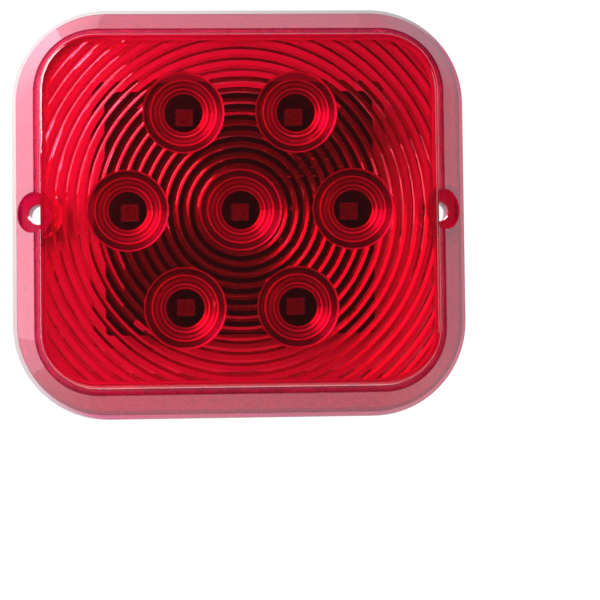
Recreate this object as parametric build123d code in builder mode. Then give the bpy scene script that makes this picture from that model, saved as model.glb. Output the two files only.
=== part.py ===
"""Surface-mounted LED trailer tail light, in millimetres.

The origin is the middle of the flat back, between the two screw holes. +X is to the right seen from
the front, +Z is up, and the lens faces -Y. Heights are measured forwards from the back plane, so a sketch
at height h lies on Plane.XZ.offset(h), and a positive extrusion makes it grow towards the front.
"""
from build123d import *
import math
import os

# Base outline and depths
WIDTH = 134.0
HEIGHT = 121.0
CORNER_R = 28.0
BASE_DEPTH = 6.5
FLOOR = 2.4
RIM = 4.6
EDGE_R = 1.0

# Lens, from the base rim forwards: skirt, bevel, ledge, raised panel
LENS_INSET = 1.6
LENS_WALL = 2.2
SKIRT = 2.5
BEVEL_DEPTH = 9.8
BEVEL_RUN = 6.7
BEVEL_TOP_R = 18.2
PANEL_INSET = 1.0
PANEL_RISE = 4.2
PANEL_DRAFT = 1.6
PANEL_R = 17.2
PANEL_EDGE_R = 1.2

# Screw holes and the pockets that lead to them
HOLE_X = 59.2
HOLE_R = 3.0
BOSS_R = 7.2
POCKET_R = 5.8
POCKET_FLAT_X = 56.0
POCKET_FLOOR = 1.8
TUBE_R = 7.3
TUBE_SHIFT = 1.0
MOUTH = 10.0

# Seal between lens and base
GROOVE_INSET = 1.9
GROOVE_WIDTH = 1.2
GROOVE_DEPTH = 1.6
SEAL_THICK = 0.6
TONGUE_PLAY = 0.05
RING_SEAL_IN = 3.5
RING_SEAL_OUT = 4.2
RING_SEAL_DEPTH = 0.8

# Ring flutes on the inner face of the panel
FLUTE_PITCH = 3.1
FLUTE_WIDTH = 1.7
FLUTE_HEIGHT = 0.6
FLUTE_START_R = 10.1
FLUTE_COUNT = 18
ROOT = 0.3

# Seven stepped optics, one in the middle and six around it. Each step is its outer and inner radius, and
# its depth below the panel's inner face at the two
OPTIC_PITCH_R = 32.0
OPTIC_R = 11.6
OPTIC_STEPS = ((11.6, 9.3, 1.2, 2.6), (9.3, 7.1, 1.4, 3.0), (7.1, 5.5, 2.0, 3.2))
WINDOW_DEPTH = 2.2

# Circuit board on four heat-staked posts
BOARD_X = 79.0
BOARD_Z = 71.5
BOARD_THICK = 1.6
BOARD_H = 7.0
BOARD_CORNER = 1.5
POST_X = 26.5
POST_Z = 29.5
POST_R = 2.4
STAKE_R = 1.0
STAKE_PLAY = 0.1
STAKE_HEAD_R = 1.8
STAKE_HEAD = 0.8
STAKE_TAPER = 20

# LED packages
LED_SIZE = 5.0
LED_HEIGHT = 1.6
LED_WINDOW_R = 2.1
LED_WINDOW_DEPTH = 0.9
LEAD_PITCH = 1.6
LEAD_WIDTH = 0.9
LEAD_REACH = 0.5
LEAD_THICK = 0.25

# Chip resistors, three in a row, and two diodes
RESISTOR_PLACES = ((14.7, 11.8), (18.2, 11.9), (21.8, 11.9))
RESISTOR_BODY = (1.6, 2.2, 0.6)
RESISTOR_CAP = (1.6, 0.5, 0.65)
DIODE_PLACES = ((17.8, 1.0), (14.5, -8.2))
DIODE_BODY = (4.3, 2.6, 2.2)
DIODE_LEAD = (0.9, 1.5, 0.5)
DIODE_CHAMFER = 0.3

# Leads: insulated stranded wire, 1.7 mm over the insulation
WIRE_D = 1.7
WIRE_EXIT_R = 3.2
COLLAR_R = 5.0
PLUG_H = 3.4
PLUG_PLAY = 0.02
LEAD_TURN_H = 4.7
LEAD_BEND_R = 1.6
PAD_X = -9.5
PAD_SPREAD = 1.5
JOINT_SIZE = (2.4, 2.28)
JOINT_R = 0.5
TIP_D = 1.1
TIP_LENGTH = 7.0

# Where the three leads leave the back, and how each runs behind the lamp: out, down, up and down again
EXIT_Z = {"black": 1.95, "white": 0.0, "red": -1.95}
ROUTES = {
    "black": [
        (0, 0, 1.95), (0, 4.9, 1.95), (-0.2, 9.5, -1.1), (-0.8, 12.2, -7.8), (-1.6, 12.9, -17.2),
        (-2.1, 13.0, -28.5), (-2.3, 13.0, -39.6), (-7.8, 13.0, -43.8), (-12.0, 13.0, -48.0),
        (-11.8, 13.0, -53.1), (-8.0, 13.0, -56.8), (-2.8, 13.0, -56.6), (0.7, 13.0, -52.8),
        (0.8, 13.0, -47.3), (0.3, 13.0, -40.5), (0.1, 13.0, -32.8), (0.2, 13.0, -25.6),
        (0.5, 13.0, -20.2), (4.2, 13.0, -16.4), (9.5, 13.0, -16.4), (13.2, 13.0, -20.2),
        (13.2, 13.0, -25.4), (8.6, 13.0, -29.6), (2.9, 13.0, -33.2), (2.3, 13.0, -41.2),
        (3.6, 13.0, -47.4), (6.2, 13.0, -51.4),
    ],
    "white": [
        (0, 0, 0), (0, 4.4, 0), (-0.2, 8.35, -2.75), (-0.8, 10.4, -8.8), (-1.6, 11.0, -18.0),
        (-2.2, 11.05, -29.0), (-2.4, 11.05, -39.8), (-7.6, 11.05, -44.0), (-11.5, 11.05, -48.0),
        (-11.4, 11.05, -52.9), (-7.7, 11.05, -56.5), (-2.7, 11.05, -56.3), (0.6, 11.05, -52.6),
        (0.7, 11.05, -47.4), (0.2, 11.05, -40.5), (0.1, 11.05, -33.0), (0.2, 11.05, -25.7),
        (0.4, 11.05, -20.8), (4.0, 11.05, -17.1), (9.1, 11.05, -17.1), (12.7, 11.05, -20.7),
        (12.7, 11.05, -25.7), (8.3, 11.05, -29.8), (3.0, 11.05, -33.4), (2.4, 11.05, -41.4),
        (2.9, 11.05, -48.0), (3.4, 11.05, -52.6),
    ],
    "red": [
        (0, 0, -1.95), (0, 3.85, -1.95), (-0.2, 7.0, -4.2), (-0.8, 8.7, -9.9), (-1.6, 9.1, -18.8),
        (-2.1, 9.1, -29.5), (-2.3, 9.1, -39.9), (-7.3, 9.1, -44.0), (-11.2, 9.1, -48.1),
        (-11.0, 9.1, -52.9), (-7.4, 9.1, -56.4), (-2.5, 9.1, -56.3), (0.8, 9.1, -52.7),
        (0.7, 9.1, -47.6), (0.2, 9.1, -40.5), (0.0, 9.1, -33.0), (0.1, 9.1, -25.8),
        (0.4, 9.1, -21.0), (3.9, 9.1, -17.4), (8.8, 9.1, -17.4), (12.2, 9.1, -20.9),
        (12.2, 9.1, -25.8), (8.2, 9.1, -29.8), (3.0, 9.1, -33.4), (2.5, 9.1, -41.2),
        (2.8, 9.1, -47.6), (2.8, 9.1, -52.6),
    ],
}

# Cable tie round the folded leads
TIE_MIDDLE = (0.2, 11.05)
TIE_TOP_Z = -35.4
TIE_WIDTH = 2.5
TIE_INSIDE = (8.0, 6.0)
TIE_THICK = 1.0
TIE_INSIDE_R = 1.2
TIE_HEAD = (4.2, 3.2, 3.6)
TIE_HEAD_R = 0.6

# Heights that follow from the dimensions above
BEVEL_START = BASE_DEPTH + SKIRT
LEDGE_H = BEVEL_START + BEVEL_DEPTH
FRONT_H = LEDGE_H + PANEL_RISE
SKIN_H = FRONT_H - LENS_WALL
BOARD_TOP = BOARD_H + BOARD_THICK
POCKET_H = BASE_DEPTH + POCKET_FLOOR
HOLES = [(-HOLE_X, 0), (HOLE_X, 0)]
OPTIC_PLACES = {
    "centre": (0.0, 0.0),
    **{
        name: (OPTIC_PITCH_R * math.cos(math.radians(a)), OPTIC_PITCH_R * math.sin(math.radians(a)))
        for name, a in (
            ("right", 0), ("top_right", 60), ("top_left", 120), ("left", 180), ("bottom_left", 240),
            ("bottom_right", 300),
        )
    },
}


def outline(inset, radius=None, mode=Mode.ADD):
    """The lamp's rounded outline, moved inwards by inset."""
    corner = CORNER_R - inset if radius is None else radius
    return RectangleRounded(WIDTH - 2 * inset, HEIGHT - 2 * inset, corner, mode=mode)


def ring(inset, width):
    """A band of the given width that follows the outline, starting at inset."""
    outline(inset)
    outline(inset + width, mode=Mode.SUBTRACT)


def save(solid, name):
    """Labels a finished piece and writes it under its own name."""
    solid.label = name
    export_step(solid, f"parts/{name}.step")


def bend_radii(points):
    """For each corner of a route, the largest arc that leaves a tenth of the shorter run straight."""
    spots = [Vector(*p) for p in points]
    radii = []
    for before, corner, after in zip(spots, spots[1:], spots[2:]):
        turn = math.radians((corner - before).get_angle(after - corner))
        run = min((corner - before).length, (after - corner).length)
        radii.append(0.45 * run / math.tan(turn / 2))
    return radii


os.makedirs("parts", exist_ok=True)

# ---------------------------------------------------------------- base housing
with BuildPart() as base_housing:
    with BuildSketch(Plane.XZ):
        outline(0)
    extrude(amount=BASE_DEPTH)
    fillet(base_housing.faces().sort_by(Axis.Y)[-1].edges(), radius=EDGE_R)
    with BuildSketch(Plane.XZ.offset(FLOOR)):
        outline(RIM)
    extrude(amount=BASE_DEPTH - FLOOR, mode=Mode.SUBTRACT)
    # screw bosses, the collar round the wire hole and the board posts with their staked heads
    with BuildSketch(Plane.XZ.offset(FLOOR / 2)):
        with Locations(*HOLES):
            Circle(BOSS_R)
    extrude(amount=BASE_DEPTH - FLOOR / 2)
    with BuildSketch(Plane.XZ.offset(FLOOR / 2)):
        Circle(COLLAR_R)
    extrude(amount=PLUG_H - FLOOR / 2)
    with BuildSketch(Plane.XZ.offset(FLOOR / 2)):
        with GridLocations(2 * POST_X, 2 * POST_Z, 2, 2):
            Circle(POST_R)
    extrude(amount=BOARD_H - FLOOR / 2)
    with BuildSketch(Plane.XZ.offset(FLOOR)):
        with GridLocations(2 * POST_X, 2 * POST_Z, 2, 2):
            Circle(STAKE_R)
    extrude(amount=BOARD_TOP + STAKE_HEAD / 2 - FLOOR)
    with BuildSketch(Plane.XZ.offset(BOARD_TOP)):
        with GridLocations(2 * POST_X, 2 * POST_Z, 2, 2):
            Circle(STAKE_HEAD_R)
    extrude(amount=STAKE_HEAD, taper=STAKE_TAPER)
    # the boss stands up to the rim, so what stands above it is cut off again
    with BuildSketch(Plane.XZ.offset(BASE_DEPTH)):
        with Locations(*HOLES):
            Rectangle(3 * BOSS_R, 3 * BOSS_R)
    extrude(amount=FLOOR, mode=Mode.SUBTRACT)
    # seal groove in the rim, one ring groove round each screw hole
    with BuildSketch(Plane.XZ.offset(BASE_DEPTH - GROOVE_DEPTH)):
        ring(GROOVE_INSET, GROOVE_WIDTH)
    extrude(amount=GROOVE_DEPTH, mode=Mode.SUBTRACT)
    with BuildSketch(Plane.XZ.offset(BASE_DEPTH - RING_SEAL_DEPTH)):
        with Locations(*HOLES):
            Circle(RING_SEAL_OUT)
            Circle(RING_SEAL_IN, mode=Mode.SUBTRACT)
    extrude(amount=RING_SEAL_DEPTH, mode=Mode.SUBTRACT)
    with BuildSketch(Plane.XZ):
        with Locations(*HOLES):
            Circle(HOLE_R)
        Circle(WIRE_EXIT_R)
    extrude(amount=BASE_DEPTH, mode=Mode.SUBTRACT)
save(base_housing.part, "base_housing")

# ---------------------------------------------------------------- seals
with BuildPart() as lens_seal:
    with BuildSketch(Plane.XZ.offset(BASE_DEPTH - GROOVE_DEPTH)):
        ring(GROOVE_INSET, GROOVE_WIDTH)
    extrude(amount=SEAL_THICK)
save(lens_seal.part, "lens_seal")

with BuildPart() as boss_seals:
    with BuildSketch(Plane.XZ.offset(BASE_DEPTH - RING_SEAL_DEPTH)):
        with Locations(*HOLES):
            Circle(RING_SEAL_OUT)
            Circle(RING_SEAL_IN, mode=Mode.SUBTRACT)
    extrude(amount=RING_SEAL_DEPTH)
save(boss_seals.part, "boss_seals")

# ---------------------------------------------------------------- lens
PANEL_FOOT = LENS_INSET + BEVEL_RUN + PANEL_INSET
PANEL_CAVITY = PANEL_FOOT + PANEL_DRAFT / 2 + LENS_WALL

with BuildPart() as flutes:
    # one radial comb of triangular ridges, turned about the lamp's axis
    with BuildSketch(Plane.XY):
        with BuildLine():
            comb = [(FLUTE_START_R, -SKIN_H - ROOT), (FLUTE_START_R, -SKIN_H)]
            for i in range(FLUTE_COUNT):
                foot = FLUTE_START_R + i * FLUTE_PITCH + (FLUTE_PITCH - FLUTE_WIDTH)
                comb.append((foot, -SKIN_H))
                comb.append((foot + FLUTE_WIDTH / 2, -SKIN_H + FLUTE_HEIGHT))
                comb.append((foot + FLUTE_WIDTH, -SKIN_H))
            comb.append((comb[-1][0] + ROOT, -SKIN_H - ROOT))
            Polyline(*comb, close=True)
        make_face()
    revolve(axis=Axis.Y)
    with BuildSketch(Plane.XZ.offset(SKIN_H + ROOT)):
        for place in OPTIC_PLACES.values():
            with Locations(place):
                Circle(OPTIC_R)
    extrude(amount=-2 * FLUTE_HEIGHT, mode=Mode.SUBTRACT)
    with BuildSketch(Plane.XZ.offset(SKIN_H + ROOT)):
        outline(PANEL_CAVITY, PANEL_R - LENS_WALL)
    extrude(amount=-2 * FLUTE_HEIGHT, mode=Mode.INTERSECT)

with BuildPart() as optic:
    # stepped rings that deepen inwards round a flat window
    with BuildSketch(Plane.XY):
        with BuildLine():
            step_line = [(0, -SKIN_H - ROOT), (OPTIC_R, -SKIN_H - ROOT)]
            for outer, inner, shallow, deep in OPTIC_STEPS:
                step_line.append((outer, -SKIN_H + shallow))
                step_line.append((inner, -SKIN_H + deep))
            step_line.append((OPTIC_STEPS[-1][1], -SKIN_H + WINDOW_DEPTH))
            step_line.append((0, -SKIN_H + WINDOW_DEPTH))
            Polyline(*step_line, close=True)
        make_face()
    revolve(axis=Axis.Y)

with BuildPart() as cavity:
    # the hollow inside the lens, less the pocket tubes, the flutes and the optics
    with BuildSketch(Plane.XZ.offset(BASE_DEPTH)):
        outline(LENS_INSET + LENS_WALL)
    extrude(amount=SKIRT)
    with BuildSketch(Plane.XZ.offset(BEVEL_START)):
        outline(LENS_INSET + LENS_WALL)
    with BuildSketch(Plane.XZ.offset(LEDGE_H - LENS_WALL)):
        outline(LENS_INSET + LENS_WALL + BEVEL_RUN, BEVEL_TOP_R - LENS_WALL)
    loft(ruled=True)
    with BuildSketch(Plane.XZ.offset(LEDGE_H - LENS_WALL)):
        outline(PANEL_CAVITY, PANEL_R - LENS_WALL)
    extrude(amount=SKIN_H - LEDGE_H + LENS_WALL)
    with BuildSketch(Plane.XZ.offset(BASE_DEPTH)):
        with Locations((HOLE_X + TUBE_SHIFT, 0), (-HOLE_X - TUBE_SHIFT, 0)):
            Circle(TUBE_R)
    extrude(amount=FRONT_H - BASE_DEPTH, mode=Mode.SUBTRACT)
    add(flutes.part, mode=Mode.SUBTRACT)
    for x, z in OPTIC_PLACES.values():
        add(optic.part.moved(Location((x, 0, z))), mode=Mode.SUBTRACT)

with BuildPart() as lens:
    with BuildSketch(Plane.XZ.offset(BASE_DEPTH)):
        outline(LENS_INSET)
    extrude(amount=SKIRT)
    with BuildSketch(Plane.XZ.offset(BEVEL_START)):
        outline(LENS_INSET)
    with BuildSketch(Plane.XZ.offset(LEDGE_H)):
        outline(LENS_INSET + BEVEL_RUN, BEVEL_TOP_R)
    loft(ruled=True)
    with BuildSketch(Plane.XZ.offset(LEDGE_H)):
        outline(PANEL_FOOT, PANEL_R)
    with BuildSketch(Plane.XZ.offset(FRONT_H)):
        outline(PANEL_FOOT + PANEL_DRAFT, PANEL_R - PANEL_DRAFT)
    loft(ruled=True)
    fillet(lens.faces().sort_by(Axis.Y)[0].edges(), radius=PANEL_EDGE_R)
    add(cavity.part, mode=Mode.SUBTRACT)
    # tongue that sits in the base's groove
    with BuildSketch(Plane.XZ.offset(BASE_DEPTH)):
        ring(GROOVE_INSET + TONGUE_PLAY, GROOVE_WIDTH - 2 * TONGUE_PLAY)
    extrude(amount=-(GROOVE_DEPTH - SEAL_THICK))
    # screw pockets, flat on the side of the panel, with a hole through their floor
    with BuildSketch(Plane.XZ.offset(POCKET_H)):
        with Locations(*HOLES):
            Circle(POCKET_R)
        Rectangle(2 * POCKET_FLAT_X, 3 * POCKET_R, mode=Mode.SUBTRACT)
    extrude(amount=MOUTH + PANEL_RISE, mode=Mode.SUBTRACT)
    with BuildSketch(Plane.XZ.offset(BASE_DEPTH)):
        with Locations(*HOLES):
            Circle(HOLE_R)
    extrude(amount=2 * POCKET_FLOOR, mode=Mode.SUBTRACT)
save(lens.part, "lens")

# ---------------------------------------------------------------- circuit board
with BuildPart() as circuit_board:
    with BuildSketch(Plane.XZ.offset(BOARD_H)):
        RectangleRounded(BOARD_X, BOARD_Z, BOARD_CORNER)
        with GridLocations(2 * POST_X, 2 * POST_Z, 2, 2):
            Circle(STAKE_R + STAKE_PLAY, mode=Mode.SUBTRACT)
    extrude(amount=BOARD_THICK)
save(circuit_board.part, "circuit_board")

# ---------------------------------------------------------------- LEDs
for name, (x, z) in OPTIC_PLACES.items():
    with BuildPart() as led_body:
        with BuildSketch(Plane.XZ.offset(BOARD_TOP)):
            with Locations((x, z)):
                Rectangle(LED_SIZE, LED_SIZE)
        extrude(amount=LED_HEIGHT)
        with BuildSketch(Plane.XZ.offset(BOARD_TOP + LED_HEIGHT)):
            with Locations((x, z)):
                Circle(LED_WINDOW_R)
        extrude(amount=-LED_WINDOW_DEPTH, mode=Mode.SUBTRACT)
    save(led_body.part, f"led_body_{name}")

    with BuildPart() as led_window:
        with BuildSketch(Plane.XZ.offset(BOARD_TOP + LED_HEIGHT - LED_WINDOW_DEPTH)):
            with Locations((x, z)):
                Circle(LED_WINDOW_R)
        extrude(amount=LED_WINDOW_DEPTH)
    save(led_window.part, f"led_window_{name}")

with BuildPart() as led_contacts:
    with BuildSketch(Plane.XZ.offset(BOARD_TOP)):
        for place in OPTIC_PLACES.values():
            with Locations(place):
                with GridLocations(LED_SIZE + LEAD_REACH, LEAD_PITCH, 2, 3):
                    Rectangle(LEAD_REACH, LEAD_WIDTH)
    extrude(amount=LEAD_THICK)
save(led_contacts.part, "led_contacts")

# ---------------------------------------------------------------- resistors and diodes
with BuildPart() as resistor_bodies:
    with BuildSketch(Plane.XZ.offset(BOARD_TOP)):
        with Locations(*RESISTOR_PLACES):
            Rectangle(RESISTOR_BODY[0], RESISTOR_BODY[1])
    extrude(amount=RESISTOR_BODY[2])
save(resistor_bodies.part, "resistor_bodies")

with BuildPart() as resistor_caps:
    with BuildSketch(Plane.XZ.offset(BOARD_TOP)):
        with Locations(*RESISTOR_PLACES):
            with GridLocations(1, RESISTOR_BODY[1] + RESISTOR_CAP[1], 1, 2):
                Rectangle(RESISTOR_CAP[0], RESISTOR_CAP[1])
    extrude(amount=RESISTOR_CAP[2])
save(resistor_caps.part, "resistor_caps")

with BuildPart() as diode_bodies:
    with BuildSketch(Plane.XZ.offset(BOARD_TOP)):
        with Locations(*DIODE_PLACES):
            Rectangle(DIODE_BODY[0], DIODE_BODY[1])
    extrude(amount=DIODE_BODY[2])
    chamfer(diode_bodies.faces().filter_by(Axis.Y).sort_by(Axis.Y)[0:2].edges(), length=DIODE_CHAMFER)
save(diode_bodies.part, "diode_bodies")

with BuildPart() as diode_contacts:
    with BuildSketch(Plane.XZ.offset(BOARD_TOP)):
        with Locations(*DIODE_PLACES):
            with GridLocations(DIODE_BODY[0] + DIODE_LEAD[0], 1, 2, 1):
                Rectangle(DIODE_LEAD[0], DIODE_LEAD[1])
    extrude(amount=DIODE_LEAD[2])
save(diode_contacts.part, "diode_contacts")

# ---------------------------------------------------------------- wire exit
with BuildPart() as wire_seal:
    with BuildSketch(Plane.XZ):
        Circle(WIRE_EXIT_R)
        with Locations(*[(0, z) for z in EXIT_Z.values()]):
            Circle(WIRE_D / 2 + PLUG_PLAY, mode=Mode.SUBTRACT)
    extrude(amount=PLUG_H)
save(wire_seal.part, "wire_seal")

for colour, z in EXIT_Z.items():
    with BuildPart() as inner_lead:
        with BuildLine() as inner_path:
            FilletPolyline(
                (0, 0, z),
                (0, -LEAD_TURN_H, z),
                (PAD_X, -LEAD_TURN_H, z * PAD_SPREAD),
                radius=LEAD_BEND_R,
            )
        with BuildSketch(Plane(origin=(0, 0, z), z_dir=(0, -1, 0))):
            Circle(WIRE_D / 2)
        sweep()
        split(bisect_by=Plane.YZ.offset(PAD_X + WIRE_D / 2), keep=Keep.TOP)
    save(inner_lead.part, f"inner_lead_{colour}")

with BuildPart() as solder_joints:
    with BuildSketch(Plane.XZ.offset(BOARD_H)):
        with Locations(*[(PAD_X + (WIRE_D - JOINT_SIZE[0]) / 2, z * PAD_SPREAD) for z in EXIT_Z.values()]):
            Rectangle(*JOINT_SIZE)
    extrude(amount=-(BOARD_H - LEAD_TURN_H + WIRE_D / 2))
    fillet(solder_joints.edges().filter_by(Axis.Y), radius=JOINT_R)
save(solder_joints.part, "solder_joints")

# ---------------------------------------------------------------- free leads, their tips and the tie
for colour, route in ROUTES.items():
    radii = bend_radii(route)
    with BuildPart() as wire:
        with BuildLine() as wire_path:
            FilletPolyline(*route, radius=radii)
        with BuildSketch(Plane(origin=route[0], z_dir=wire_path.line % 0)):
            Circle(WIRE_D / 2)
        sweep()
    length = wire_path.wire().length
    share = wire.part.volume / (math.pi * (WIRE_D / 2) ** 2 * length)
    print(f"wire_{colour}: {length:.1f} mm, volume over section times length {share:.4f}, radii",
          " ".join(f"{r:.1f}" for r in radii))
    save(wire.part, f"wire_{colour}")

    with BuildPart() as wire_tip:
        with BuildSketch(Plane(origin=route[-1], z_dir=wire_path.line % 1)):
            Circle(TIP_D / 2)
        extrude(amount=TIP_LENGTH)
    save(wire_tip.part, f"wire_tip_{colour}")

with BuildPart() as cable_tie:
    with BuildSketch(Plane.XY.offset(TIE_TOP_Z)):
        with Locations(TIE_MIDDLE):
            RectangleRounded(
                TIE_INSIDE[0] + 2 * TIE_THICK, TIE_INSIDE[1] + 2 * TIE_THICK, TIE_INSIDE_R + TIE_THICK
            )
            RectangleRounded(TIE_INSIDE[0], TIE_INSIDE[1], TIE_INSIDE_R, mode=Mode.SUBTRACT)
    extrude(amount=-TIE_WIDTH)
    with BuildSketch(Plane.XY.offset(TIE_TOP_Z + (TIE_HEAD[2] - TIE_WIDTH) / 2)):
        with Locations((TIE_MIDDLE[0], TIE_MIDDLE[1] + TIE_INSIDE[1] / 2 + TIE_HEAD[1] / 2)):
            RectangleRounded(TIE_HEAD[0], TIE_HEAD[1], TIE_HEAD_R)
    extrude(amount=-TIE_HEAD[2])
save(cable_tie.part, "cable_tie")
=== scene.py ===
import math

import bmesh
import bpy
from mathutils import Euler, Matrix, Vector


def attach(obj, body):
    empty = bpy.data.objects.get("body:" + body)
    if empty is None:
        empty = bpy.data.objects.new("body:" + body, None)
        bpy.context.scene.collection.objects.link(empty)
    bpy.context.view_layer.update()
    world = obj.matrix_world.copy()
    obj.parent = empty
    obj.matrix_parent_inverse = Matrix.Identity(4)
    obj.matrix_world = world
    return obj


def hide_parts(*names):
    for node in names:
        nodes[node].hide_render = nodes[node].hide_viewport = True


# A trailer tail light: its camera, free wires and finishes, and the floor and light around it
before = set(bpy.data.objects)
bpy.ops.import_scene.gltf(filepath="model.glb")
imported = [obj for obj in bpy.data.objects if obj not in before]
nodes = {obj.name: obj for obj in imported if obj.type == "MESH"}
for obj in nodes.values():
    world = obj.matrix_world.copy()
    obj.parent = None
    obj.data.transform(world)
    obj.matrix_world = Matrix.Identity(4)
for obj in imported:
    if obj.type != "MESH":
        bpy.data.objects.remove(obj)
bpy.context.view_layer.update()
scene = bpy.context.scene
scene.view_settings.view_transform = "Standard"
scene.view_settings.look = "None"

MM = 0.001

# ---------------------------------------------------------------- camera
# The sensor and the focal length are in millimetres, the shift in shares of the sensor, the turn in degrees
SENSOR = 36
FOCAL_LENGTH = 65.15
SHIFT = (0.077, -0.063)
CAMERA_PLACE = (-7.3 * MM, -328.2 * MM, -22.1 * MM)
CAMERA_TURN = (91.34, 0.64, -2.0)

cam_data = bpy.data.cameras.new("camera")
cam_data.sensor_width = SENSOR
cam_data.lens = FOCAL_LENGTH
cam_data.shift_x, cam_data.shift_y = SHIFT
camera = bpy.data.objects.new("camera", cam_data)
camera.location = CAMERA_PLACE
camera.rotation_euler = Euler([math.radians(angle) for angle in CAMERA_TURN], "XYZ")
scene.collection.objects.link(camera)
scene.camera = camera

# ---------------------------------------------------------------- free wires
# The routes are in millimetres, from the hole in the back into a hank that is folded twice behind the lamp
WIRE_D = 1.7
ROUTES = {
    "black": [
        (0, 0, 1.95), (0, 4.9, 1.95), (-0.2, 9.5, -1.1), (-0.8, 12.2, -7.8), (-1.6, 12.9, -17.2),
        (-2.1, 13.0, -28.5), (-2.3, 13.0, -39.6), (-7.8, 13.0, -43.8), (-12.0, 13.0, -48.0),
        (-11.8, 13.0, -53.1), (-8.0, 13.0, -56.8), (-2.8, 13.0, -56.6), (0.7, 13.0, -52.8),
        (0.8, 13.0, -47.3), (0.3, 13.0, -40.5), (0.1, 13.0, -32.8), (0.2, 13.0, -25.6),
        (0.5, 13.0, -20.2), (4.2, 13.0, -16.4), (9.5, 13.0, -16.4), (13.2, 13.0, -20.2),
        (13.2, 13.0, -25.4), (8.6, 13.0, -29.6), (2.9, 13.0, -33.2), (2.3, 13.0, -41.2),
        (3.6, 13.0, -47.4), (6.2, 13.0, -51.4),
    ],
    "white": [
        (0, 0, 0), (0, 4.4, 0), (-0.2, 8.35, -2.75), (-0.8, 10.4, -8.8), (-1.6, 11.0, -18.0),
        (-2.2, 11.05, -29.0), (-2.4, 11.05, -39.8), (-7.6, 11.05, -44.0), (-11.5, 11.05, -48.0),
        (-11.4, 11.05, -52.9), (-7.7, 11.05, -56.5), (-2.7, 11.05, -56.3), (0.6, 11.05, -52.6),
        (0.7, 11.05, -47.4), (0.2, 11.05, -40.5), (0.1, 11.05, -33.0), (0.2, 11.05, -25.7),
        (0.4, 11.05, -20.8), (4.0, 11.05, -17.1), (9.1, 11.05, -17.1), (12.7, 11.05, -20.7),
        (12.7, 11.05, -25.7), (8.3, 11.05, -29.8), (3.0, 11.05, -33.4), (2.4, 11.05, -41.4),
        (2.9, 11.05, -48.0), (3.4, 11.05, -52.6),
    ],
    "red": [
        (0, 0, -1.95), (0, 3.85, -1.95), (-0.2, 7.0, -4.2), (-0.8, 8.7, -9.9), (-1.6, 9.1, -18.8),
        (-2.1, 9.1, -29.5), (-2.3, 9.1, -39.9), (-7.3, 9.1, -44.0), (-11.2, 9.1, -48.1),
        (-11.0, 9.1, -52.9), (-7.4, 9.1, -56.4), (-2.5, 9.1, -56.3), (0.8, 9.1, -52.7),
        (0.7, 9.1, -47.6), (0.2, 9.1, -40.5), (0.0, 9.1, -33.0), (0.1, 9.1, -25.8),
        (0.4, 9.1, -21.0), (3.9, 9.1, -17.4), (8.8, 9.1, -17.4), (12.2, 9.1, -20.9),
        (12.2, 9.1, -25.8), (8.2, 9.1, -29.8), (3.0, 9.1, -33.4), (2.5, 9.1, -41.2),
        (2.8, 9.1, -47.6), (2.8, 9.1, -52.6),
    ],
}
STEPS_PER_POINT = 16
TUBE_ROUNDNESS = 6


def wire_tube(name, points):
    """A round wire along one smooth spline with these points as its controls, and the points it follows."""
    curve = bpy.data.curves.new(name, "CURVE")
    curve.dimensions = "3D"
    curve.resolution_u = STEPS_PER_POINT
    spline = curve.splines.new("NURBS")
    spline.points.add(len(points) - 1)
    for point, (x, y, z) in zip(spline.points, points):
        point.co = (x * MM, y * MM, z * MM, 1)
    spline.order_u = 3
    spline.use_endpoint_u = True
    guide = bpy.data.objects.new(name + "_guide", curve)
    scene.collection.objects.link(guide)
    line = bpy.data.meshes.new_from_object(guide)
    path = [tuple(vertex.co) for vertex in line.vertices]
    curve.bevel_depth = WIRE_D / 2 * MM
    curve.bevel_resolution = TUBE_ROUNDNESS
    curve.use_fill_caps = True
    tube = bpy.data.meshes.new_from_object(guide)
    bpy.data.objects.remove(guide)
    bpy.data.meshes.remove(line)
    wire = bpy.data.objects.new(name, tube)
    scene.collection.objects.link(wire)
    return wire, path


wires = {}
for colour, points in ROUTES.items():
    wire, path = wire_tube(f"lead_{colour}", points)
    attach(wire, "root")
    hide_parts(f"wire_{colour}")
    wires[colour] = wire


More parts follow.
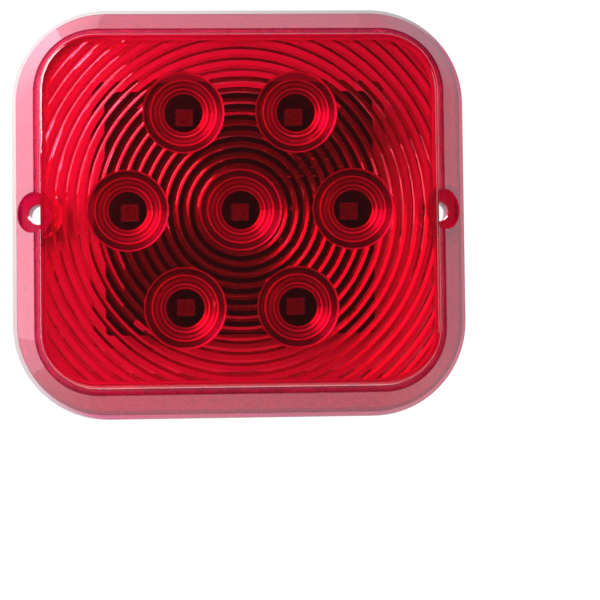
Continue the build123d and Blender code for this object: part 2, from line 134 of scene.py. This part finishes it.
# ---------------------------------------------------------------- node helpers
class Nodes:
    """A material's node tree with short calls for making and linking nodes."""

    def __init__(self, name):
        self.material = bpy.data.materials.new(name)
        self.material.use_nodes = True
        self.tree = self.material.node_tree
        self.tree.nodes.clear()
        self.out = self.tree.nodes.new("ShaderNodeOutputMaterial")
        self.where = self.add("TexCoord").outputs["Object"]

    def add(self, kind, **inputs):
        """A node of this kind. _name sets a property; a number, or a name with __ for spaces, an input."""
        node = self.tree.nodes.new("ShaderNode" + kind)
        for key, value in inputs.items():
            if key.startswith("_"):
                setattr(node, key[1:], value)
                continue
            socket = node.inputs[int(key)] if key.isdigit() else node.inputs[key.replace("__", " ")]
            if isinstance(value, bpy.types.NodeSocket):
                self.tree.links.new(value, socket)
            else:
                socket.default_value = value
        return node

    def math(self, operation, a, b=0.0):
        """The result of one operation on a, or on a and b."""
        return self.add("Math", _operation=operation, **{"0": a, "1": b}).outputs[0]

    def length(self, a, b):
        """The length of the vector (a, b)."""
        square = self.math("ADD", self.math("MULTIPLY", a, a), self.math("MULTIPLY", b, b))
        return self.math("SQRT", square)

    def both(self, first, second):
        """1 where both masks are 1, 0 elsewhere."""
        return self.math("MULTIPLY", first, second)

    def band(self, value, low, high):
        """1 where the value lies between low and high, 0 elsewhere."""
        return self.both(self.math("GREATER_THAN", value, low), self.math("LESS_THAN", value, high))

    def noise(self, size, detail=2.0, stretch=(1, 1, 1)):
        """Noise whose blobs are about size metres across, longer along an axis where stretch is small."""
        where = self.add("Mapping", Vector=self.where, Scale=stretch).outputs[0]
        return self.add("TexNoise", Vector=where, Scale=1 / size, Detail=detail).outputs[0]

    def spread(self, value, low, high, start=0.3, stop=0.7):
        """A value from start..stop carried over to low..high."""
        return self.add(
            "MapRange", Value=value, From__Min=start, From__Max=stop, To__Min=low, To__Max=high,
        ).outputs["Result"]

    def tone(self, value, dark, light, start=0.3, stop=0.7):
        """A colour between dark and light."""
        return self.ramp(value, ((start, dark), (stop, light)))

    def ramp(self, value, stops):
        """A colour picked along stops, each a position from 0 to 1 and its colour."""
        node = self.add("ValToRGB", Fac=value)
        elements = node.color_ramp.elements
        for element, (position, colour) in zip(elements, stops):
            element.position = position
            element.color = (*colour, 1)
        for position, colour in stops[2:]:
            elements.new(position).color = (*colour, 1)
        return node.outputs["Color"]

    def bump(self, height, depth, strength=1.0, normal=None):
        """The surface's normal over a relief depth metres deep, on top of any other relief's normal."""
        node = self.add("Bump", Height=height, Distance=depth, Strength=strength)
        if normal is not None:
            self.tree.links.new(normal, node.inputs["Normal"])
        return node.outputs["Normal"]

    def mix(self, factor, first, second):
        """The first shader, with this share of the second."""
        return self.add("MixShader", **{"0": factor, "1": first, "2": second}).outputs[0]

    def finish(self, shader):
        """The material, with this shader as its surface."""
        self.tree.links.new(shader, self.out.inputs["Surface"])
        return self.material


def paint(obj, material):
    """Gives an object this material and no other."""
    obj.data.materials.clear()
    obj.data.materials.append(material)


# ---------------------------------------------------------------- materials
def moulded(name, dark, light, rough, grain, depth, patch, **shader):
    """Moulded plastic: two close tones, an uneven gloss, a fine grain and a faint long sink wave.
    grain and patch are the sizes of the grain and of the tone's patches, depth is the grain's relief."""
    n = Nodes(name)
    colour = n.tone(n.noise(patch, 5), dark, light)
    gloss = n.spread(n.noise(patch / 3, 4), *rough)
    wave = n.bump(n.noise(patch * 1.5, 1), depth * 4, 0.5)
    pebble = n.bump(n.noise(grain, 3), depth, 1.0, wave)
    plastic = n.add("BsdfPrincipled", Base__Color=colour, Roughness=gloss, Normal=pebble, **shader)
    return n.finish(plastic.outputs[0])


def tinned(name, dark, light, rough, grain, depth):
    """Tinned metal with an uneven, slightly clouded surface, dented by depth over dents of size grain."""
    n = Nodes(name)
    colour = n.tone(n.noise(grain * 4, 4), dark, light)
    gloss = n.spread(n.noise(grain * 2, 4), *rough)
    dents = n.bump(n.noise(grain, 3), depth)
    metal = n.add("BsdfPrincipled", Base__Color=colour, Roughness=gloss, Normal=dents, Metallic=1.0)
    return n.finish(metal.outputs[0])


STRAND_TURN = math.radians(18)
STRAND_SCALE = 900


def stranded():
    """Tinned copper strands that wind round the axis of a bare wire end."""
    n = Nodes("stranded_copper")
    lay = n.add("Mapping", Vector=n.where, Rotation=(0, STRAND_TURN, 0)).outputs[0]
    waves = n.add("TexWave", Vector=lay, Scale=STRAND_SCALE, Distortion=0.6, Detail=1, _bands_direction="X")
    strands = waves.outputs[0]
    colour = n.tone(strands, (0.34, 0.20, 0.12), (0.86, 0.74, 0.62), 0.1, 0.8)
    gloss = n.spread(n.noise(0.0006, 3), 0.25, 0.45)
    relief = n.bump(strands, 0.00012)
    metal = n.add("BsdfPrincipled", Base__Color=colour, Roughness=gloss, Normal=relief, Metallic=1.0)
    return n.finish(metal.outputs[0])


def insulation(colour_name, dark, light):
    """Extruded PVC: fine die lines, soft sheen and a little dust."""
    n = Nodes(f"insulation_{colour_name}")
    colour = n.tone(n.noise(0.006, 5), dark, light)
    gloss = n.spread(n.noise(0.0015, 4), 0.32, 0.5)
    lines = n.bump(n.noise(0.0005, 3, (1.0, 1.0, 0.08)), 0.00004, 0.6)
    vinyl = n.add("BsdfPrincipled", Base__Color=colour, Roughness=gloss, Normal=lines, Coat__Weight=0.15)
    return n.finish(vinyl.outputs[0])


COPPER_SCALE = 90
LAMINATE = (1, 6, 1)


def board_mask():
    """Matt black solder mask over faint copper runs, with the bare glass-fibre edge all round."""
    n = Nodes("solder_mask")
    tone = n.tone(n.noise(0.008, 5), (0.004, 0.0035, 0.0036), (0.007, 0.006, 0.006))
    gloss = n.spread(n.noise(0.002, 4), 0.32, 0.5)
    on_face = n.add("Mapping", Vector=n.where, Rotation=(math.pi / 2, 0, 0)).outputs[0]
    copper = n.add("TexBrick", Vector=on_face, Scale=COPPER_SCALE, Mortar__Size=0.05, Mortar__Smooth=0.4)
    relief = n.bump(copper.outputs["Fac"], 0.00003, 0.7, n.bump(n.noise(0.0004, 2), 0.00002))
    mask = n.add("BsdfPrincipled", Base__Color=tone, Roughness=gloss, Normal=relief)
    fibre = n.tone(n.noise(0.0008, 4, LAMINATE), (0.16, 0.13, 0.06), (0.32, 0.27, 0.14))
    layers = n.bump(n.noise(0.0003, 3, LAMINATE), 0.00006)
    edge = n.add("BsdfPrincipled", Base__Color=fibre, Roughness=0.75, Normal=layers)
    normal = n.add("SeparateXYZ", Vector=n.add("NewGeometry").outputs["Normal"]).outputs[1]
    is_face = n.math("GREATER_THAN", n.math("ABSOLUTE", normal), 0.5)
    return n.finish(n.mix(is_face, edge.outputs[0], mask.outputs[0]))


# Lens: the seven optics, six of them on a ring round the middle one
OPTIC_RING_R = 32.0 * MM
OPTIC_ANGLE = math.radians(60)
OPTIC_R = 11.6 * MM
WINDOW_R = 5.5 * MM
# ring flutes on the panel's inner face, which start at this radius: one depth is just in front of the face
# and the other just behind the flutes' tops
FLUTE_PITCH = 3.1 * MM
FLUTE_WIDTH = 1.7 * MM
FLUTE_START_R = 11.5 * MM
INNER_SKIN_Y = -20.9 * MM
FLUTE_TOP_Y = -20.1 * MM
# the panel's outline near its brink, and two thin lines of painted shade along it, at its foot where the
# moulded step lies and inside its brink where the wall refracts:
# each line lies between two distances from the centres of the outline's corners, and in front of its depth
PANEL_HALF = (56.6 * MM, 50.1 * MM)
PANEL_R = 16.1 * MM
FOOT_SHADE_LINE = (17.75 * MM, 18.4 * MM)
FOOT_Y = -18.0 * MM
BRINK_SHADE_LINE = (14.6 * MM, 15.2 * MM)
BRINK_Y = -22.5 * MM
BRINK_SHARE = 0.6
# clear red plastic: its tint, the tint of the light that falls through it, and how satin its parts are
LENS_TINT = (0.94, 0.055, 0.10, 1)
SHADE_TINT = (0.95, 0.12, 0.60, 1)
OPTIC_HAZE = 0.75
FLUTE_HAZE = 0.33
EDGE_HAZE = 0.4
OUTLINE_SHADE = 0.5
# the red of the painted shade lines along the panel's outline
OUTLINE_SHADE_RED = (0.16, 0.001, 0.025, 1)
# colours along an optic's radius, in shares of it: painted shade in the grooves and painted highlights on
# the edges of its steps, bands between
GROOVE_SHADE = (0.14, 0.002, 0.03)
BAND = (0.60, 0.006, 0.11)
STEP_HIGHLIGHT = (0.88, 0.045, 0.16)
OPTIC_RINGS = (
    (0.455, STEP_HIGHLIGHT), (0.485, BAND),
    (0.55, GROOVE_SHADE), (0.575, STEP_HIGHLIGHT), (0.60, STEP_HIGHLIGHT), (0.625, GROOVE_SHADE), (0.70, BAND),
    (0.765, GROOVE_SHADE), (0.785, STEP_HIGHLIGHT), (0.81, STEP_HIGHLIGHT), (0.83, GROOVE_SHADE),
    (0.95, GROOVE_SHADE), (0.985, STEP_HIGHLIGHT),
)


def optic_distance(n, x, z):
    """The distance to the axis of the lamp and that to the nearest optic's."""
    radius = n.length(x, z)
    turn = n.math("PINGPONG", n.math("ARCTAN2", z, x), OPTIC_ANGLE / 2)
    along = n.math("MULTIPLY", n.math("MULTIPLY", radius, n.math("COSINE", turn)), -2 * OPTIC_RING_R)
    square = n.math("ADD", n.math("ADD", n.math("MULTIPLY", radius, radius), along), OPTIC_RING_R**2)
    return radius, n.math("MINIMUM", radius, n.math("SQRT", square))


def corner_distance(n, x, z):
    """The distance to the rectangle that the centres of the panel's corners span, 0 inside it."""
    across = n.math("SUBTRACT", n.math("ABSOLUTE", x), PANEL_HALF[0] - PANEL_R)
    upward = n.math("SUBTRACT", n.math("ABSOLUTE", z), PANEL_HALF[1] - PANEL_R)
    return n.length(n.math("MAXIMUM", across, 0.0), n.math("MAXIMUM", upward, 0.0))


def lens_masks(n):
    """Masks of the optics' stepped rings, the flutes, the outer edge and the lines of painted shade along
    the panel's outline, and the place along an optic's radius."""
    x, y, z = n.add("SeparateXYZ", Vector=n.where).outputs
    radius, distance = optic_distance(n, x, z)
    in_optic = n.math("LESS_THAN", distance, OPTIC_R)
    optics = n.both(n.band(distance, WINDOW_R, OPTIC_R), n.math("GREATER_THAN", y, INNER_SKIN_Y))
    phase = n.math("FRACT", n.math("DIVIDE", n.math("SUBTRACT", radius, FLUTE_START_R), FLUTE_PITCH))
    on_flute = n.math("LESS_THAN", phase, FLUTE_WIDTH / FLUTE_PITCH)
    clear_of_optics = n.math("SUBTRACT", 1.0, in_optic)
    flutes = n.both(n.both(on_flute, clear_of_optics), n.band(y, INNER_SKIN_Y, FLUTE_TOP_Y))
    from_corner = corner_distance(n, x, z)
    edge = n.math("GREATER_THAN", from_corner, PANEL_R)
    foot = n.both(n.band(from_corner, *FOOT_SHADE_LINE), n.math("LESS_THAN", y, FOOT_Y))
    brink = n.both(n.band(from_corner, *BRINK_SHADE_LINE), n.math("LESS_THAN", y, BRINK_Y))
    outline = n.math("ADD", foot, n.math("MULTIPLY", brink, BRINK_SHARE))
    return optics, flutes, edge, outline, n.math("DIVIDE", distance, OPTIC_R)


def satin(n, colour, normal, roughness, gloss):
    """A satin moulded finish: a dull face with a share gloss of broad sheen, in one colour."""
    dull = n.add("BsdfDiffuse", Color=colour, Normal=normal)
    sheen = n.add("BsdfGlossy", Color=colour, Roughness=roughness, Normal=normal)
    return n.mix(gloss, dull.outputs[0], sheen.outputs[0])


def lens_plastic():
    """Clear red acrylic with satin optics and flutes inside, a less clear edge, and fine handling marks.
    The optics carry painted highlights and painted shade on their steps, and the panel's outline carries
    thin lines of painted shade.
    """
    n = Nodes("red_acrylic")
    marks = n.noise(0.0012, 4, (1.0, 1.0, 0.06))
    smear = n.spread(n.noise(0.009, 5), 0.0, 0.02, 0.4, 0.75)
    ripple = n.bump(n.noise(0.009, 1), 0.00002, 0.3)
    face = n.bump(marks, 0.000003, 0.4, ripple)
    clear = n.add(
        "BsdfPrincipled", Base__Color=LENS_TINT, Roughness=smear, IOR=1.49, Transmission__Weight=1.0,
        Coat__Weight=1.0, Coat__Roughness=0.02, Coat__IOR=1.5, Normal=face,
    )
    optics, flutes, edge, outline, reach = lens_masks(n)
    cloud = n.noise(0.002, 3)
    # painted highlights and painted shade on the optics' steps
    rings = n.ramp(reach, OPTIC_RINGS)
    grain = n.bump(n.noise(0.0005, 3), 0.00002, 0.6)
    flute_red = n.tone(cloud, (0.66, 0.003, 0.045), (0.85, 0.006, 0.07))
    edge_red = n.tone(cloud, (0.56, 0.06, 0.15), (0.69, 0.09, 0.20))
    optic_face = satin(n, rings, grain, roughness=0.32, gloss=0.5)
    flute_face = satin(n, flute_red, grain, roughness=0.3, gloss=0.93)
    edge_face = satin(n, edge_red, grain, roughness=0.3, gloss=0.2)
    outline_shade_face = n.add("BsdfDiffuse", Color=OUTLINE_SHADE_RED).outputs[0]
    body = n.mix(n.math("MULTIPLY", optics, OPTIC_HAZE), clear.outputs[0], optic_face)
    body = n.mix(n.math("MULTIPLY", flutes, FLUTE_HAZE), body, flute_face)
    body = n.mix(n.math("MULTIPLY", edge, EDGE_HAZE), body, edge_face)
    # painted shade lines along the panel's outline
    body = n.mix(n.math("MULTIPLY", outline, OUTLINE_SHADE), body, outline_shade_face)
    shade = n.add("BsdfTransparent", Color=SHADE_TINT)
    return n.finish(n.mix(n.add("LightPath").outputs["Is Shadow Ray"], body, shade.outputs[0]))


WHITE_ABS = moulded(
    "white_abs", (0.69, 0.71, 0.70), (0.73, 0.745, 0.735), rough=(0.34, 0.5),
    grain=0.00022, depth=0.000012, patch=0.03,
)
SEAL_BEAD = moulded(
    "seal_bead", (0.62, 0.38, 0.26), (0.78, 0.54, 0.40), rough=(0.45, 0.65),
    grain=0.0003, depth=0.00002, patch=0.004,
)
POTTING = moulded(
    "potting", (0.06, 0.058, 0.056), (0.12, 0.115, 0.11), rough=(0.35, 0.6),
    grain=0.0005, depth=0.00004, patch=0.003,
)
LED_CASE = moulded(
    "led_case", (0.09, 0.085, 0.085), (0.15, 0.14, 0.14), rough=(0.3, 0.45),
    grain=0.0002, depth=0.00001, patch=0.002,
)
LED_GEL = moulded(
    "led_gel", (0.10, 0.05, 0.03), (0.17, 0.09, 0.05), rough=(0.08, 0.2),
    grain=0.0006, depth=0.00001, patch=0.0015, Coat__Weight=0.6,
)
CHIP_BLACK = moulded(
    "chip_epoxy", (0.012, 0.012, 0.013), (0.03, 0.03, 0.03), rough=(0.4, 0.6),
    grain=0.00015, depth=0.00001, patch=0.002,
)
TIE_NYLON = moulded(
    "tie_nylon", (0.66, 0.66, 0.62), (0.78, 0.78, 0.74), rough=(0.3, 0.42),
    grain=0.0004, depth=0.00001, patch=0.004, Subsurface__Weight=0.15, Subsurface__Scale=0.001,
)
TIN = tinned(
    "tin", (0.62, 0.62, 0.6), (0.84, 0.84, 0.82), rough=(0.2, 0.42), grain=0.0004, depth=0.00002,
)
# tin darkened into painted shade, for the LED contacts
SHADED_TIN = tinned(
    "shaded_tin", (0.09, 0.09, 0.09), (0.16, 0.155, 0.15), rough=(0.4, 0.6), grain=0.0004, depth=0.00002,
)
SOLDER = tinned(
    "solder", (0.5, 0.5, 0.49), (0.78, 0.78, 0.77), rough=(0.22, 0.5), grain=0.0009, depth=0.00012,
)
STRANDS = stranded()
BOARD = board_mask()
INSULATION = {
    "black": insulation("black", (0.006, 0.006, 0.007), (0.018, 0.018, 0.019)),
    "white": insulation("white", (0.66, 0.65, 0.62), (0.80, 0.79, 0.76)),
    "red": insulation("red", (0.20, 0.006, 0.010), (0.30, 0.012, 0.016)),
}
# each node's finish, by its name or by the start of its name
FINISH = {
    "base_housing": WHITE_ABS,
    "lens": lens_plastic(),
    "lens_seal": SEAL_BEAD,
    "boss_seals": SEAL_BEAD,
    "wire_seal": POTTING,
    "circuit_board": BOARD,
    "led_body_": LED_CASE,
    "led_window_": LED_GEL,
    # the LED contacts get tin darkened into painted shade
    "led_contacts": SHADED_TIN,
    "resistor_bodies": CHIP_BLACK,
    "resistor_caps": TIN,
    "diode_bodies": CHIP_BLACK,
    "diode_contacts": TIN,
    "solder_joints": SOLDER,
    "wire_tip_": STRANDS,
    "cable_tie": TIE_NYLON,
}
for name, node in nodes.items():
    for start, material in FINISH.items():
        if name == start or (start.endswith("_") and name.startswith(start)):
            paint(node, material)
for colour, wire in wires.items():
    for piece in (wire, nodes[f"wire_{colour}"], nodes[f"inner_lead_{colour}"]):
        paint(piece, INSULATION[colour])

# ---------------------------------------------------------------- stage
# A round sheet of paper well below the lamp, which glows a little; sizes from here on are in metres
FLOOR_Z = -0.30
FLOOR_R = 0.6
FLOOR_SIDES = 96
FLOOR_GLOW = 0.12
floor_mesh = bpy.data.meshes.new("floor")
bm = bmesh.new()
bmesh.ops.create_circle(bm, cap_ends=True, segments=FLOOR_SIDES, radius=FLOOR_R)
bmesh.ops.translate(bm, verts=bm.verts, vec=(0, 0, FLOOR_Z))
bm.to_mesh(floor_mesh)
bm.free()
floor = bpy.data.objects.new("floor", floor_mesh)
scene.collection.objects.link(floor)
paint(floor, moulded(
    "paper", (0.72, 0.72, 0.72), (0.76, 0.76, 0.76), rough=(0.8, 0.95),
    grain=0.001, depth=0.00001, patch=0.1, Emission__Color=(1, 1, 1, 1), Emission__Strength=FLOOR_GLOW,
))


def softbox(name, place, size, radiance, colour=(1, 1, 1), turn=None):
    """A rectangular soft light of one even radiance, out of the camera's sight. It faces the lamp, unless a
    turn is given."""
    light = bpy.data.lights.new(name, "AREA")
    light.shape = "RECTANGLE"
    light.size, light.size_y = size
    light.energy = radiance * math.pi * size[0] * size[1]
    light.color = colour
    panel = bpy.data.objects.new(name, light)
    panel.location = place
    panel.rotation_euler = turn or (-Vector(place)).to_track_quat("-Z", "Y").to_euler()
    panel.visible_camera = False
    scene.collection.objects.link(panel)


softbox("key_upper_left", (-0.27, -0.16, 0.155), (0.22, 0.22), 12)
softbox("fill_right", (0.60, -0.60, 0.10), (0.4, 0.4), 2.0)
# a ring of panels round the lamp's axis, just behind the lamp, that its bevels mirror: the angle of each
# from the right, in degrees, and its radiance, bright at the left and dim at the right
COOL = (0.92, 0.92, 1.0)
RING_R = 0.66
RING_NEAR = 0.24
RING_FAR = 0.92
PANEL_STEP = 22.5
RING_RADIANCE = {
    -45: 0.6, -22.5: 0.66, 0: 0.72, 22.5: 0.70, 45: 0.70, 67.5: 0.75, 90: 0.85, 112.5: 1.2, 135: 2.2,
    157.5: 2.2, 180: 2.0, 202.5: 1.3, 225: 0.9,
}
panel_size = (2 * RING_R * math.tan(math.radians(PANEL_STEP / 2)), RING_FAR - RING_NEAR)
for step, (angle, radiance) in enumerate(RING_RADIANCE.items()):
    x = RING_R * math.cos(math.radians(angle))
    z = RING_R * math.sin(math.radians(angle))
    place = (x, (RING_NEAR + RING_FAR) / 2, z)
    softbox(f"ring_{step}", place, panel_size, radiance, COOL, turn=(0, math.radians(90 - angle), 0))
softbox("back_fill", (0.30, 1.15, 0.40), (0.7, 0.5), 4.5)

# the camera sees white paper behind the lamp, and the lamp is lit by a dim room
ROOM_LIGHT = 0.04
PAPER_WHITE = 1.05
world = bpy.data.worlds.new("world")
scene.world = world
world.use_nodes = True
sky = world.node_tree
room = sky.nodes["Background"]
paper = sky.nodes.new("ShaderNodeBackground")
for background, strength in ((room, ROOM_LIGHT), (paper, PAPER_WHITE)):
    background.inputs["Color"].default_value = (1, 1, 1, 1)
    background.inputs["Strength"].default_value = strength
seen = sky.nodes.new("ShaderNodeLightPath")
either = sky.nodes.new("ShaderNodeMixShader")
sky.links.new(seen.outputs["Is Camera Ray"], either.inputs[0])
sky.links.new(room.outputs[0], either.inputs[1])
sky.links.new(paper.outputs[0], either.inputs[2])
sky.links.new(either.outputs[0], sky.nodes["World Output"].inputs[0])

bpy.context.view_layer.update()
